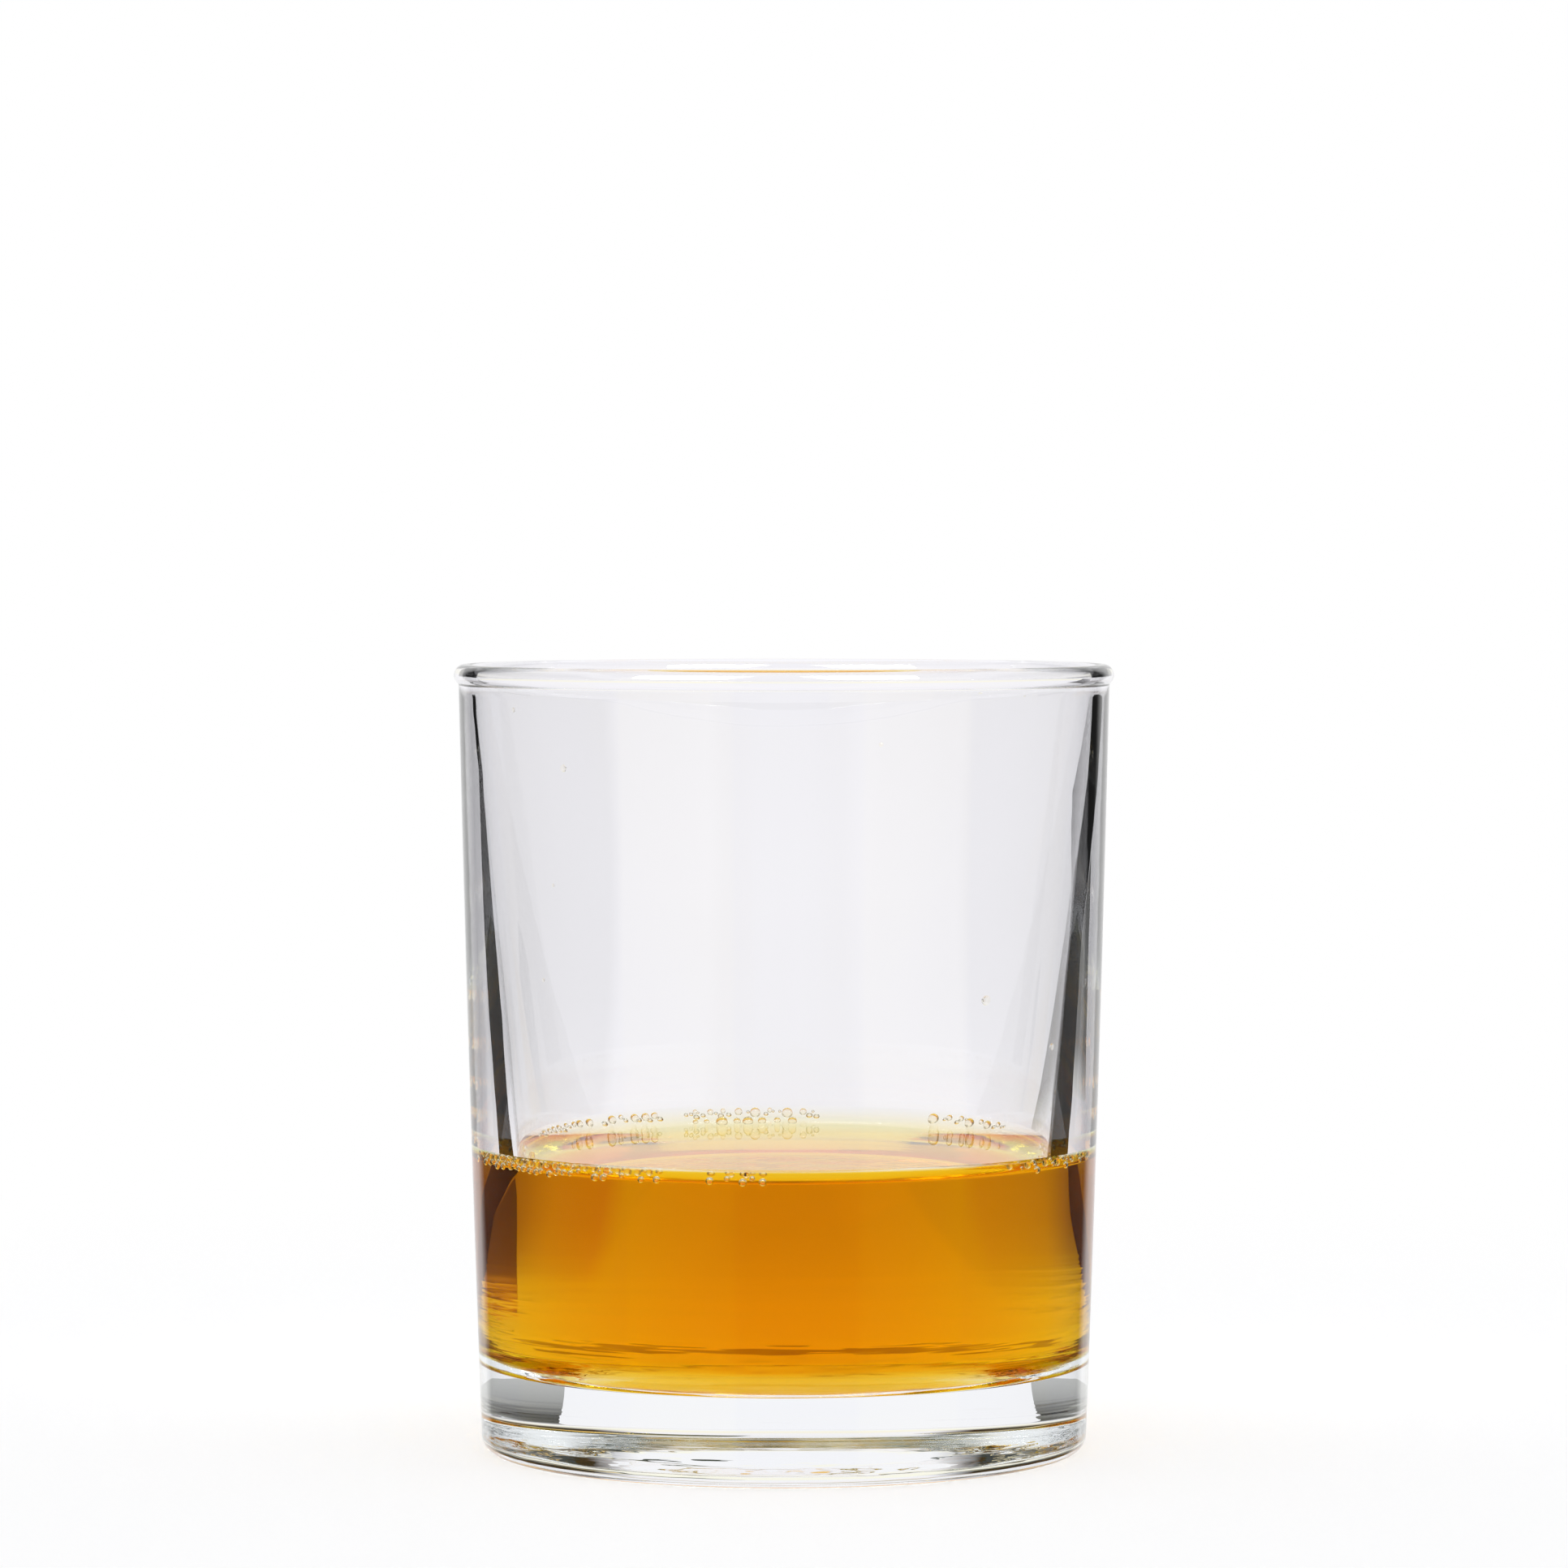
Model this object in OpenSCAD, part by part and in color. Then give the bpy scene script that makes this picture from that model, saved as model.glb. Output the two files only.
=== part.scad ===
// Whisky tumbler: a pressed glass with a thick base, and the drink poured into it.
// The origin is the centre of the foot on the table, +Z is up, and all sizes are in millimetres.

/* [Tumbler] */
// Height from the table to the top of the rim
glass_h = 95.5; // [80:0.5:120]
// Diameter across the rim bead
rim_d = 80; // [72:0.5:100]
// Diameter of the foot, where the outer wall would meet the table
foot_d = 73.4; // [64:0.2:84]
// How far the outer wall bows out from a straight taper
wall_bow = 0.16; // [0:0.02:0.5]
// Thickness of the wall just under the rim bead
lip_t = 1.7; // [1.2:0.1:3]
// How far the rim bead stands out from the outer wall
bead_out = 0.55; // [0.2:0.05:1]
// How far the rim bead stands in from the inner wall
bead_in = 0.35; // [0.1:0.05:0.8]
// Thickness of the wall at the level of the inner floor
base_wall_t = 6.7; // [3:0.1:10]
// Thickness of the base under the inner floor
floor_t = 10; // [6:0.5:20]
// Radius of the corner between the inner wall and the inner floor
floor_corner_r = 4; // [2:0.5:8]
// Radius of the rounded heel
heel_r = 2; // [1:0.25:4]

/* [Underside] */
// Diameter of the shallow recess in the middle of the underside
recess_d = 37; // [24:1:52]
// Depth of that recess
recess_depth = 0.8; // [0.3:0.1:2]
// Width of the slope round the edge of the recess
recess_slope_w = 1.2; // [0.4:0.1:3]

/* [Whisky] */
// Depth of the drink over the inner floor, away from the wall
drink_depth = 25; // [14:1:50]
// How far the drink climbs the wall
meniscus_h = 2.2; // [1:0.1:3]
// Distance from the wall over which that climb dies away
meniscus_len = 1.8; // [1:0.1:2.5]
// Gap left between the drink and the glass, so that the drink can turn
wet_gap = 0.1; // [0.05:0.01:0.3]

/* [Bubbles] */
// Radius of the largest bubble
bubble_max_r = 0.95; // [0.6:0.05:1.2]
// Radius of the smallest bubble
bubble_min_r = 0.35; // [0.25:0.05:0.55]
// Least space between two bubbles
bubble_gap = 0.12; // [0.05:0.01:0.4]

/* [Droplets] */
// Footprint radius of the largest droplet on the inner wall
droplet_r = 0.75; // [0.4:0.05:1.2]
// Height of a droplet as a share of its footprint radius
droplet_rise = 0.45; // [0.2:0.05:0.8]
// Least height of a droplet's centre over the edge of the drink
droplet_clear = 4; // [3:0.5:10]

/* [Hidden] */
$fn = 180;
// Sides of a bubble's and a droplet's ball
ball_fn = 48;
// Straight steps along the bowed wall, round the bead, and round a quarter of a corner or heel
wall_steps = 12;
bead_steps = 28;
corner_steps = 10;
// Steps along the meniscus, and how many of its lengths it is drawn for
meniscus_steps = 16;
meniscus_span = 6;

// The rim bead
rim_r = rim_d / 2;
bead_r = (lip_t + bead_out + bead_in) / 2;
bead_c = [rim_r - bead_r, glass_h - bead_r];
lip_out_r = rim_r - bead_out;
lip_in_r = lip_out_r - lip_t;
// Angles on the bead where the outer and the inner wall run into it
bead_from = -acos((lip_out_r - bead_c.x) / bead_r);
bead_to = 360 - acos((lip_in_r - bead_c.x) / bead_r);
neck_z = bead_c.y + bead_r * sin(bead_from);
throat_z = bead_c.y + bead_r * sin(bead_to);

// The walls as radii at a height
function outer_r(z) =
    let (share = z / neck_z)
    foot_d / 2 + (lip_out_r - foot_d / 2) * share + wall_bow * 4 * share * (1 - share);
floor_r = outer_r(floor_t) - base_wall_t;
wall_slope = (lip_in_r - floor_r) / (throat_z - floor_t);
wall_tilt = atan(wall_slope);
function inner_r(z) = floor_r + (z - floor_t) * wall_slope;

// Centre of the inner corner's arc, which touches the floor and the wall
corner_z = floor_t + floor_corner_r;
corner_c = [inner_r(corner_z - floor_corner_r * sin(wall_tilt)) - floor_corner_r * cos(wall_tilt), corner_z];
heel_c = [outer_r(heel_r) - heel_r, heel_r];
recess_r = recess_d / 2;

// The drink
side_gap = wet_gap / cos(wall_tilt);
level_z = floor_t + drink_depth;
contact_z = level_z + meniscus_h;
contact_r = inner_r(contact_z) - side_gap;
function meniscus_z(from_wall) = level_z + meniscus_h * exp(-from_wall / meniscus_len);

// Runs of bubbles round the edge: where each starts and ends in degrees from +X, its bubbles in a row,
// its rows, and the share of the largest size that it reaches
BUBBLE_RUNS = [
    [188, 221, 13, 2, 0.75],
    [223, 244, 8, 1, 0.55],
    [259, 265, 3, 1, 0.45],
    [318, 357, 7, 1, 0.7],
    [27, 53, 7, 1, 0.95],
    [84, 115, 8, 2, 1],
    [120, 137, 5, 1, 0.8],
    [142, 167, 8, 1, 0.7]
];
// Where the bubbles' sizes start to vary from
BUBBLE_SEED = 7;
// How far every second row is moved along, as a share of a bubble's place
row_shift = 0.5;

// Droplets: degrees from +X, share of the height between the drink and the rim, share of the largest size
DROPLETS = [
    [227, 0.83, 0.75],
    [214, 0.96, 0.5],
    [311, 0.3, 1],
    [331, 0.18, 0.8],
    [338, 0.14, 0.6],
    [345, 0.05, 0.55],
    [352, 0, 0.5],
    [223, 0.56, 0.4],
    [219, 0.34, 0.35],
    [70, 0.8, 0.45],
    [48, 0.97, 0.6],
    [35, 0.95, 0.45]
];
droplet_low_z = contact_z + droplet_clear;
droplet_high_z = throat_z - droplet_r;

function arc(centre, r, from, to, steps) =
    [for (i = [0:steps]) let (a = from + (to - from) * i / steps) centre + r * [cos(a), sin(a)]];

module tumbler() {
    underside = [[0, recess_depth], [recess_r, recess_depth], [recess_r + recess_slope_w, 0]];
    heel = arc(heel_c, heel_r, -90, 0, corner_steps);
    wall = [for (i = [1:wall_steps - 1]) let (z = heel_r + (neck_z - heel_r) * i / wall_steps) [outer_r(z), z]];
    bead = arc(bead_c, bead_r, bead_from, bead_to, bead_steps);
    corner = arc(corner_c, floor_corner_r, -wall_tilt, -90, corner_steps);
    color("aliceblue", 0.35)
    rotate_extrude()
        polygon(concat(underside, heel, wall, bead, corner, [[0, floor_t]]));
}

module whisky() {
    corner = arc(corner_c, floor_corner_r - wet_gap, -90, -wall_tilt, corner_steps);
    meniscus = [
        for (i = [0:meniscus_steps])
        let (from_wall = meniscus_span * meniscus_len * pow(i / meniscus_steps, 2))
        [contact_r - from_wall, meniscus_z(from_wall)]
    ];
    color("darkgoldenrod", 0.8)
    rotate_extrude()
        polygon(concat([[0, floor_t + wet_gap]], corner, meniscus, [[0, meniscus_z(meniscus_span * meniscus_len)]]));
}

// One run of bubbles, half sunk in the slope of the meniscus. The rows lie side by side, away from the wall.
module bubble_run(from, to, count, rows, reach, seed) {
    places = count + row_shift * (rows - 1);
    inmost_r = contact_r - rows * (2 * bubble_max_r + bubble_gap);
    pitch = inmost_r * (to - from) * PI / 180 / places;
    widest = min(bubble_max_r * reach, (pitch - bubble_gap) / 2);
    narrowest = min(bubble_min_r, widest);
    sizes = rands(narrowest, widest, count * rows, seed);
    for (row = [0:rows - 1], i = [0:count - 1]) {
        r = sizes[row * count + i];
        row_start = row * (2 * widest + bubble_gap);
        from_wall = row_start + (r + wet_gap) / cos(wall_tilt);
        along = (i + 0.5 + row_shift * (row % 2)) / places;
        rotate(from + (to - from) * along)
            translate([contact_r - from_wall, 0, meniscus_z(from_wall)])
            sphere(r, $fn = ball_fn);
    }
}

module bubbles() {
    color("moccasin", 0.5)
    for (i = [0:len(BUBBLE_RUNS) - 1]) {
        run = BUBBLE_RUNS[i];
        bubble_run(run[0], run[1], run[2], run[3], run[4], BUBBLE_SEED + i);
    }
}

// A droplet is the cap of a ball, lying on the inner wall and touching it at the cap's edge
module droplet(angle, height_share, size_share) {
    footprint = droplet_r * size_share;
    rise = droplet_rise * footprint;
    ball_r = (footprint * footprint + rise * rise) / (2 * rise);
    z = droplet_low_z + (droplet_high_z - droplet_low_z) * height_share;
    seat_r = sqrt(inner_r(z) * inner_r(z) - footprint * footprint);
    rotate(angle)
        translate([seat_r, 0, z])
        rotate([0, wall_tilt - 90, 0])
        intersection() {
            translate([0, 0, rise - ball_r])
                sphere(ball_r, $fn = ball_fn);
            cylinder(h = ball_r, r = ball_r);
        }
}

module droplets() {
    color("wheat", 0.6)
    for (d = DROPLETS)
        droplet(d[0], d[1], d[2]);
}

tumbler();
whisky();
bubbles();
droplets();
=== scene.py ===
# %% [markdown]
# # A whisky tumbler, seen against the light
# The part is a pressed tumbler with a measure of whisky in it. Clear things have almost no colour of
# their own: what the eye reads is how they bend the bright and dark things round them. So this lesson
# spends its effort on three matters: true shapes, true refraction where glass meets drink, and a studio
# that gives the bending something to show.
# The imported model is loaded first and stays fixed. Everything here is in metres, in its frame.

# %% Load the frame
import math
import random

import bmesh
import bpy
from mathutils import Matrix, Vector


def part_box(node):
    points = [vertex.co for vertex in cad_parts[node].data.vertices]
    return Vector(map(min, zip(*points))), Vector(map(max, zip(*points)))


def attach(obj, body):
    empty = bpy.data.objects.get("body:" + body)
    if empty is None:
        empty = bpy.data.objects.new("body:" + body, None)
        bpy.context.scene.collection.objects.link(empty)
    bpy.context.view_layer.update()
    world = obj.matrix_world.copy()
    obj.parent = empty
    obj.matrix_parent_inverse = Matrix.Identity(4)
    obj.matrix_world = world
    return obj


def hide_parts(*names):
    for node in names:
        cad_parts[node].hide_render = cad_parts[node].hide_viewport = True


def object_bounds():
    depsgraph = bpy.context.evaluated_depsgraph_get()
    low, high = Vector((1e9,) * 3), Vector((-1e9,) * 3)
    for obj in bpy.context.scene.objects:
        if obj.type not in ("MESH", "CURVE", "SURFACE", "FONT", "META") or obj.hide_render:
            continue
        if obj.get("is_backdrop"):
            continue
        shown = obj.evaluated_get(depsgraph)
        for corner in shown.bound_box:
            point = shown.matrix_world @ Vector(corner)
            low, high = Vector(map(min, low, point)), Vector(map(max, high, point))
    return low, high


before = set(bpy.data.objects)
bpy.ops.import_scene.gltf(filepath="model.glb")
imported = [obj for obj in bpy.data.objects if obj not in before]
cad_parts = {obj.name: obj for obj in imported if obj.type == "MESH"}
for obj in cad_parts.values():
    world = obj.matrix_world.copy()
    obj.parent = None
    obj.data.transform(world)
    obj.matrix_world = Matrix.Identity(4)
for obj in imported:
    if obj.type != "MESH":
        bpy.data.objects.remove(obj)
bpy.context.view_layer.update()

MM = 0.001

# %% [markdown]
# ## Sizes
# The rim, the height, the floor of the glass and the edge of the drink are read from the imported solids.
# What a box can't tell, such as the wall's thickness, is written here in millimetres, once.

# %% Sizes of the glass and the drink
_, tumbler_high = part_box("tumbler")
whisky_low, whisky_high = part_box("whisky")
RIM_R = tumbler_high.x
GLASS_H = tumbler_high.z
FOOT_R = 36.7 * MM
WALL_BOW = 0.16 * MM
LIP_T = 1.7 * MM
BEAD_OUT = 0.55 * MM
BEAD_IN = 0.35 * MM
NECK_FILLET = 0.35 * MM
BASE_WALL_T = 6.7 * MM
FLOOR_CORNER_R = 4.0 * MM
HEEL_R = 2.0 * MM
RECESS_DEPTH = 0.8 * MM
RECESS_EDGE_R = 19.7 * MM
RECESS_SHOULDER = 6 * MM
RECESS_R = RECESS_EDGE_R - RECESS_SHOULDER
CAD_WET_GAP = 0.1 * MM
MENISCUS_H = 2.2 * MM
MENISCUS_LEN = 1.8 * MM
FLOOR_Z = whisky_low.z - CAD_WET_GAP
CONTACT_Z = whisky_high.z
LEVEL_Z = CONTACT_Z - MENISCUS_H

BEAD_R = (LIP_T + BEAD_OUT + BEAD_IN) / 2
BEAD_C = (RIM_R - BEAD_R, GLASS_H - BEAD_R)
LIP_OUT_R = RIM_R - BEAD_OUT
LIP_IN_R = LIP_OUT_R - LIP_T
print(f"floor at {FLOOR_Z / MM:.1f} mm, drink at {LEVEL_Z / MM:.1f} mm, its edge at {CONTACT_Z / MM:.1f} mm")

# %% [markdown]
# ## The outline of the glass
# A pressed tumbler is a body of revolution, so half a section says everything. Straight stretches need
# two points, and round ones are arcs. The outline runs from the middle of the underside, out to the
# heel, up the outer wall, over the rim bead, down the inner wall and along the floor. Fire polishing
# softens the glass, so the bead runs into the walls with small hollow rounds, not with a crease.

# %% Arcs, and the walls as radii at a height
def arc(centre, radius, start_deg, end_deg, steps):
    turns = [math.radians(start_deg + (end_deg - start_deg) * i / steps) for i in range(steps + 1)]
    return [(centre[0] + radius * math.cos(a), centre[1] + radius * math.sin(a)) for a in turns]


def straight(start, end, steps):
    """Points from start towards end, without either of them."""
    return [tuple(a + (b - a) * i / steps for a, b in zip(start, end)) for i in range(1, steps)]


def fillet_centre(wall_r, side):
    """Centre of the hollow round between the wall at wall_r and the bead; side is 1 outside, -1 inside."""
    across = wall_r + side * NECK_FILLET - BEAD_C[0]
    down = math.sqrt((BEAD_R + NECK_FILLET) ** 2 - across**2)
    return BEAD_C[0] + across, BEAD_C[1] - down


NECK_C = fillet_centre(LIP_OUT_R, 1)
THROAT_C = fillet_centre(LIP_IN_R, -1)
NECK_Z = NECK_C[1]
THROAT_Z = THROAT_C[1]


def outer_r(z):
    share = z / NECK_Z
    return FOOT_R + (LIP_OUT_R - FOOT_R) * share + WALL_BOW * 4 * share * (1 - share)


FLOOR_R = outer_r(FLOOR_Z) - BASE_WALL_T
WALL_SLOPE = (LIP_IN_R - FLOOR_R) / (THROAT_Z - FLOOR_Z)
WALL_TILT = math.atan(WALL_SLOPE)


def inner_r(z):
    return FLOOR_R + (z - FLOOR_Z) * WALL_SLOPE


CORNER_Z = FLOOR_Z + FLOOR_CORNER_R
CORNER_C = (
    inner_r(CORNER_Z - FLOOR_CORNER_R * math.sin(WALL_TILT)) - FLOOR_CORNER_R * math.cos(WALL_TILT),
    CORNER_Z,
)
wall_at_drink = outer_r(CONTACT_Z) - inner_r(CONTACT_Z)
print(f"wall {LIP_T / MM:.1f} mm at the lip and {wall_at_drink / MM:.1f} mm at the drink")

# %% [markdown]
# ## Points along the outline
# Round stretches get many points, because refraction shows every facet. Straight ones get some too, since
# long thin faces shade badly. The recess under the foot ends in a soft shoulder, as hot glass doesn't
# fill a sharp corner of the mould. Two points have names, the edge of the drink and the start of the heel,
# because the finish of the glass changes there.

# %% The outline's points
RECESS_STEPS = 10
FLAT_STEPS = 8
BEARING_STEPS = 6
HEEL_STEPS = 16
OUTER_STEPS = 60
FILLET_STEPS = 8
BEAD_STEPS = 48
DRY_STEPS = 40
WET_STEPS = 24
CORNER_STEPS = 24
WET_EDGE = (inner_r(CONTACT_Z), CONTACT_Z)
HEEL_C = (outer_r(HEEL_R) - HEEL_R, HEEL_R)
HEEL_START = (HEEL_C[0], 0.0)


def smooth(share):
    return share * share * (3 - 2 * share)


def turn_from_bead(centre):
    return math.degrees(math.atan2(centre[1] - BEAD_C[1], centre[0] - BEAD_C[0]))


def glass_outline():
    recess = [
        (RECESS_R + RECESS_SHOULDER * i / RECESS_STEPS, RECESS_DEPTH * (1 - smooth(i / RECESS_STEPS)))
        for i in range(RECESS_STEPS + 1)
    ]
    underside = [(0, RECESS_DEPTH), *straight((0, RECESS_DEPTH), recess[0], FLAT_STEPS), *recess]
    bearing = straight(recess[-1], HEEL_START, BEARING_STEPS)
    heel = [HEEL_START, *arc(HEEL_C, HEEL_R, -90, 0, HEEL_STEPS)[1:]]
    heights = [HEEL_R + (NECK_Z - HEEL_R) * i / OUTER_STEPS for i in range(1, OUTER_STEPS)]
    outer = [(outer_r(z), z) for z in heights]
    neck_turn = turn_from_bead(NECK_C)
    throat_turn = turn_from_bead(THROAT_C) % 360
    neck = arc(NECK_C, NECK_FILLET, 180, neck_turn + 180, FILLET_STEPS)
    bead = arc(BEAD_C, BEAD_R, neck_turn, throat_turn, BEAD_STEPS)[1:-1]
    throat = arc(THROAT_C, NECK_FILLET, throat_turn - 180, 0, FILLET_STEPS)
    corner = arc(CORNER_C, FLOOR_CORNER_R, -math.degrees(WALL_TILT), -90, CORNER_STEPS)
    dry = straight(throat[-1], WET_EDGE, DRY_STEPS)
    wet = [WET_EDGE, *straight(WET_EDGE, corner[0], WET_STEPS)]
    floor = [*straight(corner[-1], (0, FLOOR_Z), FLAT_STEPS), (0, FLOOR_Z)]
    return [*underside, *bearing, *heel, *outer, *neck, *bead, *throat, *dry, *wet, *corner, *floor]


tumbler_outline = glass_outline()
print(len(tumbler_outline), "points in the outline")

# %% [markdown]
# ## Spinning an outline
# Blender's Screw modifier could spin the outline, but a mesh made point by point has clean poles on the
# axis and even quads, and its rings can be marked wet or dry as they are made. A turn has many steps for
# the same reason as the arcs, and edges that turn sharply are marked so that shading stops there.

# %% Meshes from points, and a function that spins an outline
TURN_STEPS = 256
SHARP_TURN = math.radians(35)


def new_piece(name, verts, faces):
    mesh = bpy.data.meshes.new(name)
    mesh.from_pydata(verts, [], faces)
    mesh.shade_smooth()
    mesh.set_sharp_from_angle(angle=SHARP_TURN)
    piece = bpy.data.objects.new(name, mesh)
    bpy.context.scene.collection.objects.link(piece)
    print(f"{name}: {len(verts)} points, {len(faces)} faces")
    return piece


def revolve(name, points):
    """A closed mesh from (radius, height) points that start and end on the axis, and each face's ring."""
    verts, rings = [], []
    for radius, height in points:
        steps = TURN_STEPS if radius > 0 else 1
        rings.append(range(len(verts), len(verts) + steps))
        for i in range(steps):
            turn = 2 * math.pi * i / TURN_STEPS
            verts.append((radius * math.cos(turn), radius * math.sin(turn), height))
    faces, face_rings = [], []
    for k, (low, high) in enumerate(zip(rings, rings[1:])):
        for i in range(TURN_STEPS):
            j = (i + 1) % TURN_STEPS
            if len(low) == 1:
                face = (low[0], high[j], high[i])
            elif len(high) == 1:
                face = (low[i], low[j], high[0])
            else:
                face = (low[i], low[j], high[j], high[i])
            faces.append(face)
            face_rings.append(k)
    return new_piece(name, verts, faces), face_rings


# %% [markdown]
# ## Materials
# One function adds a shader node with its settings and links, and one turns a colour as an artist writes
# it, an sRGB hex value, into the linear numbers that a shader wants.

# %% Helpers for materials
def add(tree, kind, inputs=None, stops=(), **settings):
    """Adds a node. Inputs are values or sockets to link; stops are a ramp's (place, grey or colour) pairs."""
    node = tree.nodes.new(kind)
    for name, value in settings.items():
        setattr(node, name, value)
    for _ in stops[2:]:
        node.color_ramp.elements.new(1.0)
    for i, (place, tone) in enumerate(stops):
        node.color_ramp.elements[i].position = place
        node.color_ramp.elements[i].color = tone if isinstance(tone, tuple) else (tone, tone, tone, 1.0)
    for key, value in (inputs or {}).items():
        if isinstance(value, bpy.types.NodeSocket):
            tree.links.new(value, node.inputs[key])
        else:
            node.inputs[key].default_value = value
    return node


def linear(hex_colour):
    channels = [int(hex_colour[i : i + 2], 16) / 255 for i in (1, 3, 5)]
    return (*[c / 12.92 if c <= 0.04045 else ((c + 0.055) / 1.055) ** 2.4 for c in channels], 1.0)


def new_material(name):
    material = bpy.data.materials.new(name)
    material.use_nodes = True
    material.node_tree.nodes.clear()
    print("material", name)
    return material, material.node_tree


# %% [markdown]
# ## Soda-lime glass
# Drinking glasses are pressed from soda-lime glass, which bends light with an index of 1.52 and has a
# faint green tint in depth. Pressing and fire polishing leave slow waves a few millimetres long and some
# thousandths deep: too small to see as shape, enough to make straight reflections tremble. Low down, where
# the mould chilled the glass first, flat ripples run round it, and the ring that it stands on is uneven.
# Both break what shows in the base into streaks.
# Where the drink touches the glass, light passes from 1.52 to 1.36 and not to air, so those faces get the
# ratio of the two. Without this the drink would look like a block hanging inside the glass.

# %% Soda-lime glass, dry and wetted
GLASS_IOR = 1.52
WHISKY_IOR = 1.36
CLEAR = linear("#ffffff")
GLASS_TINT = linear("#e6fbf4")
TINT_PER_METRE = 1.5
WAVE_LENGTH = 7 * MM
WAVE_DEPTH = 0.006 * MM


def pressed_glass(name, ior, ripple_length, flatness, ripple_depth, none_at, full_at):
    """Glass with waves all over, and with flat ripples that grow between the heights none_at and full_at."""
    material, tree = new_material(name)
    place = add(tree, "ShaderNodeTexCoord")
    split = add(tree, "ShaderNodeSeparateXYZ", {0: place.outputs["Object"]})
    flattened = add(tree, "ShaderNodeVectorMath", {0: place.outputs["Object"], 1: (1, 1, flatness)},
                    operation="MULTIPLY")
    ripples = add(tree, "ShaderNodeTexNoise", {
        "Vector": flattened.outputs[0], "Scale": 1 / ripple_length, "Detail": 2.0,
    })
    low_down = add(tree, "ShaderNodeMapRange", {
        "Value": split.outputs["Z"], "From Min": none_at, "From Max": full_at,
    }, interpolation_type="SMOOTHSTEP")
    flow = add(tree, "ShaderNodeBump", {
        "Height": ripples.outputs[0], "Strength": low_down.outputs[0], "Distance": ripple_depth,
    })
    waves = add(tree, "ShaderNodeTexNoise", {
        "Vector": place.outputs["Object"], "Scale": 1 / WAVE_LENGTH, "Detail": 1.0,
    })
    tremble = add(tree, "ShaderNodeBump", {
        "Height": waves.outputs[0], "Strength": 1.0, "Distance": WAVE_DEPTH, "Normal": flow.outputs[0],
    })
    surface = add(tree, "ShaderNodeBsdfPrincipled", {
        "Base Color": CLEAR,
        "Roughness": 0.0,
        "IOR": ior,
        "Transmission Weight": 1.0,
        "Normal": tremble.outputs[0],
    })
    tint = add(tree, "ShaderNodeVolumeAbsorption", {"Color": GLASS_TINT, "Density": TINT_PER_METRE})
    add(tree, "ShaderNodeOutputMaterial", {"Surface": surface.outputs[0], "Volume": tint.outputs[0]})
    return material


dry_glass = pressed_glass(
    "pressed_soda_lime_glass", GLASS_IOR,
    ripple_length=14 * MM, flatness=12, ripple_depth=0.06 * MM, none_at=5 * MM, full_at=2 * MM,
)
wet_glass = pressed_glass(
    "wetted_soda_lime_glass", GLASS_IOR / WHISKY_IOR,
    ripple_length=20 * MM, flatness=20, ripple_depth=0.12 * MM, none_at=24 * MM, full_at=13 * MM,
)
foot_glass = pressed_glass(
    "stippled_soda_lime_glass", GLASS_IOR,
    ripple_length=6 * MM, flatness=1, ripple_depth=0.2 * MM, none_at=4 * MM, full_at=2 * MM,
)

# %% [markdown]
# ## The tumbler
# One closed mesh, as the real one is one casting. The faces from the edge of the drink down to the floor
# take the wetted glass, and those from the shoulder of the recess to the heel take the uneven one.

# %% The tumbler
DRY, WET, FOOT = range(3)
tumbler, tumbler_rings = revolve("tumbler_glass", tumbler_outline)
for finish in (dry_glass, wet_glass, foot_glass):
    tumbler.data.materials.append(finish)
wet_from = tumbler_outline.index(WET_EDGE)
foot_rings = range(tumbler_outline.index((RECESS_R, RECESS_DEPTH)), tumbler_outline.index(HEEL_START))
finish_of_face = [WET if ring >= wet_from else FOOT if ring in foot_rings else DRY for ring in tumbler_rings]
tumbler.data.polygons.foreach_set("material_index", finish_of_face)
print(finish_of_face.count(WET), "faces are wet and", finish_of_face.count(FOOT), "are under the foot")
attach(tumbler, "glass")
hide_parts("tumbler")

# %% [markdown]
# ## The drink
# Whisky wets clean glass, so its surface curves up to the wall in a meniscus, and that thin wedge is the
# bright yellow line round the drink. The body hangs a hair inside the glass, because two faces in one
# place would fight.

# %% The drink's outline and mesh
FILM_GAP = 0.02 * MM
MENISCUS_RUN = 6 * MENISCUS_LEN
MENISCUS_STEPS = 40
SURFACE_STEPS = 10
contact_r = inner_r(CONTACT_Z) - FILM_GAP / math.cos(WALL_TILT)


def meniscus_z(from_wall):
    return LEVEL_Z + MENISCUS_H * math.exp(-from_wall / MENISCUS_LEN)


def wetted_outline():
    corner = arc(CORNER_C, FLOOR_CORNER_R - FILM_GAP, -90, -math.degrees(WALL_TILT), CORNER_STEPS)
    bottom = [(0, FLOOR_Z + FILM_GAP), *straight((0, FLOOR_Z + FILM_GAP), corner[0], FLAT_STEPS)]
    return [*bottom, *corner, *straight(corner[-1], (contact_r, CONTACT_Z), WET_STEPS)]


def surface_outline():
    run = [MENISCUS_RUN * (i / MENISCUS_STEPS) ** 2 for i in range(MENISCUS_STEPS + 1)]
    climb = [(contact_r - from_wall, meniscus_z(from_wall)) for from_wall in run]
    middle = (0, climb[-1][1])
    return [*climb, *straight(climb[-1], middle, SURFACE_STEPS), middle]


wetted = wetted_outline()
drink, drink_rings = revolve("whisky_drink", wetted + surface_outline())

# %% [markdown]
# ## Whisky
# Spirit that has aged in oak takes up blue light strongly, green light less and red hardly at all, so it is
# amber in depth and yellow where it is thin. That is absorption in a volume, not a colour on a surface. The
# hex value is what 23 mm of it leave of white light, and what each millimetre takes follows from that.
# The index sits on each face: 1.36 where the drink meets air, and 1 where it meets the glass, because
# the wetted glass has already bent the light there.

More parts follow.
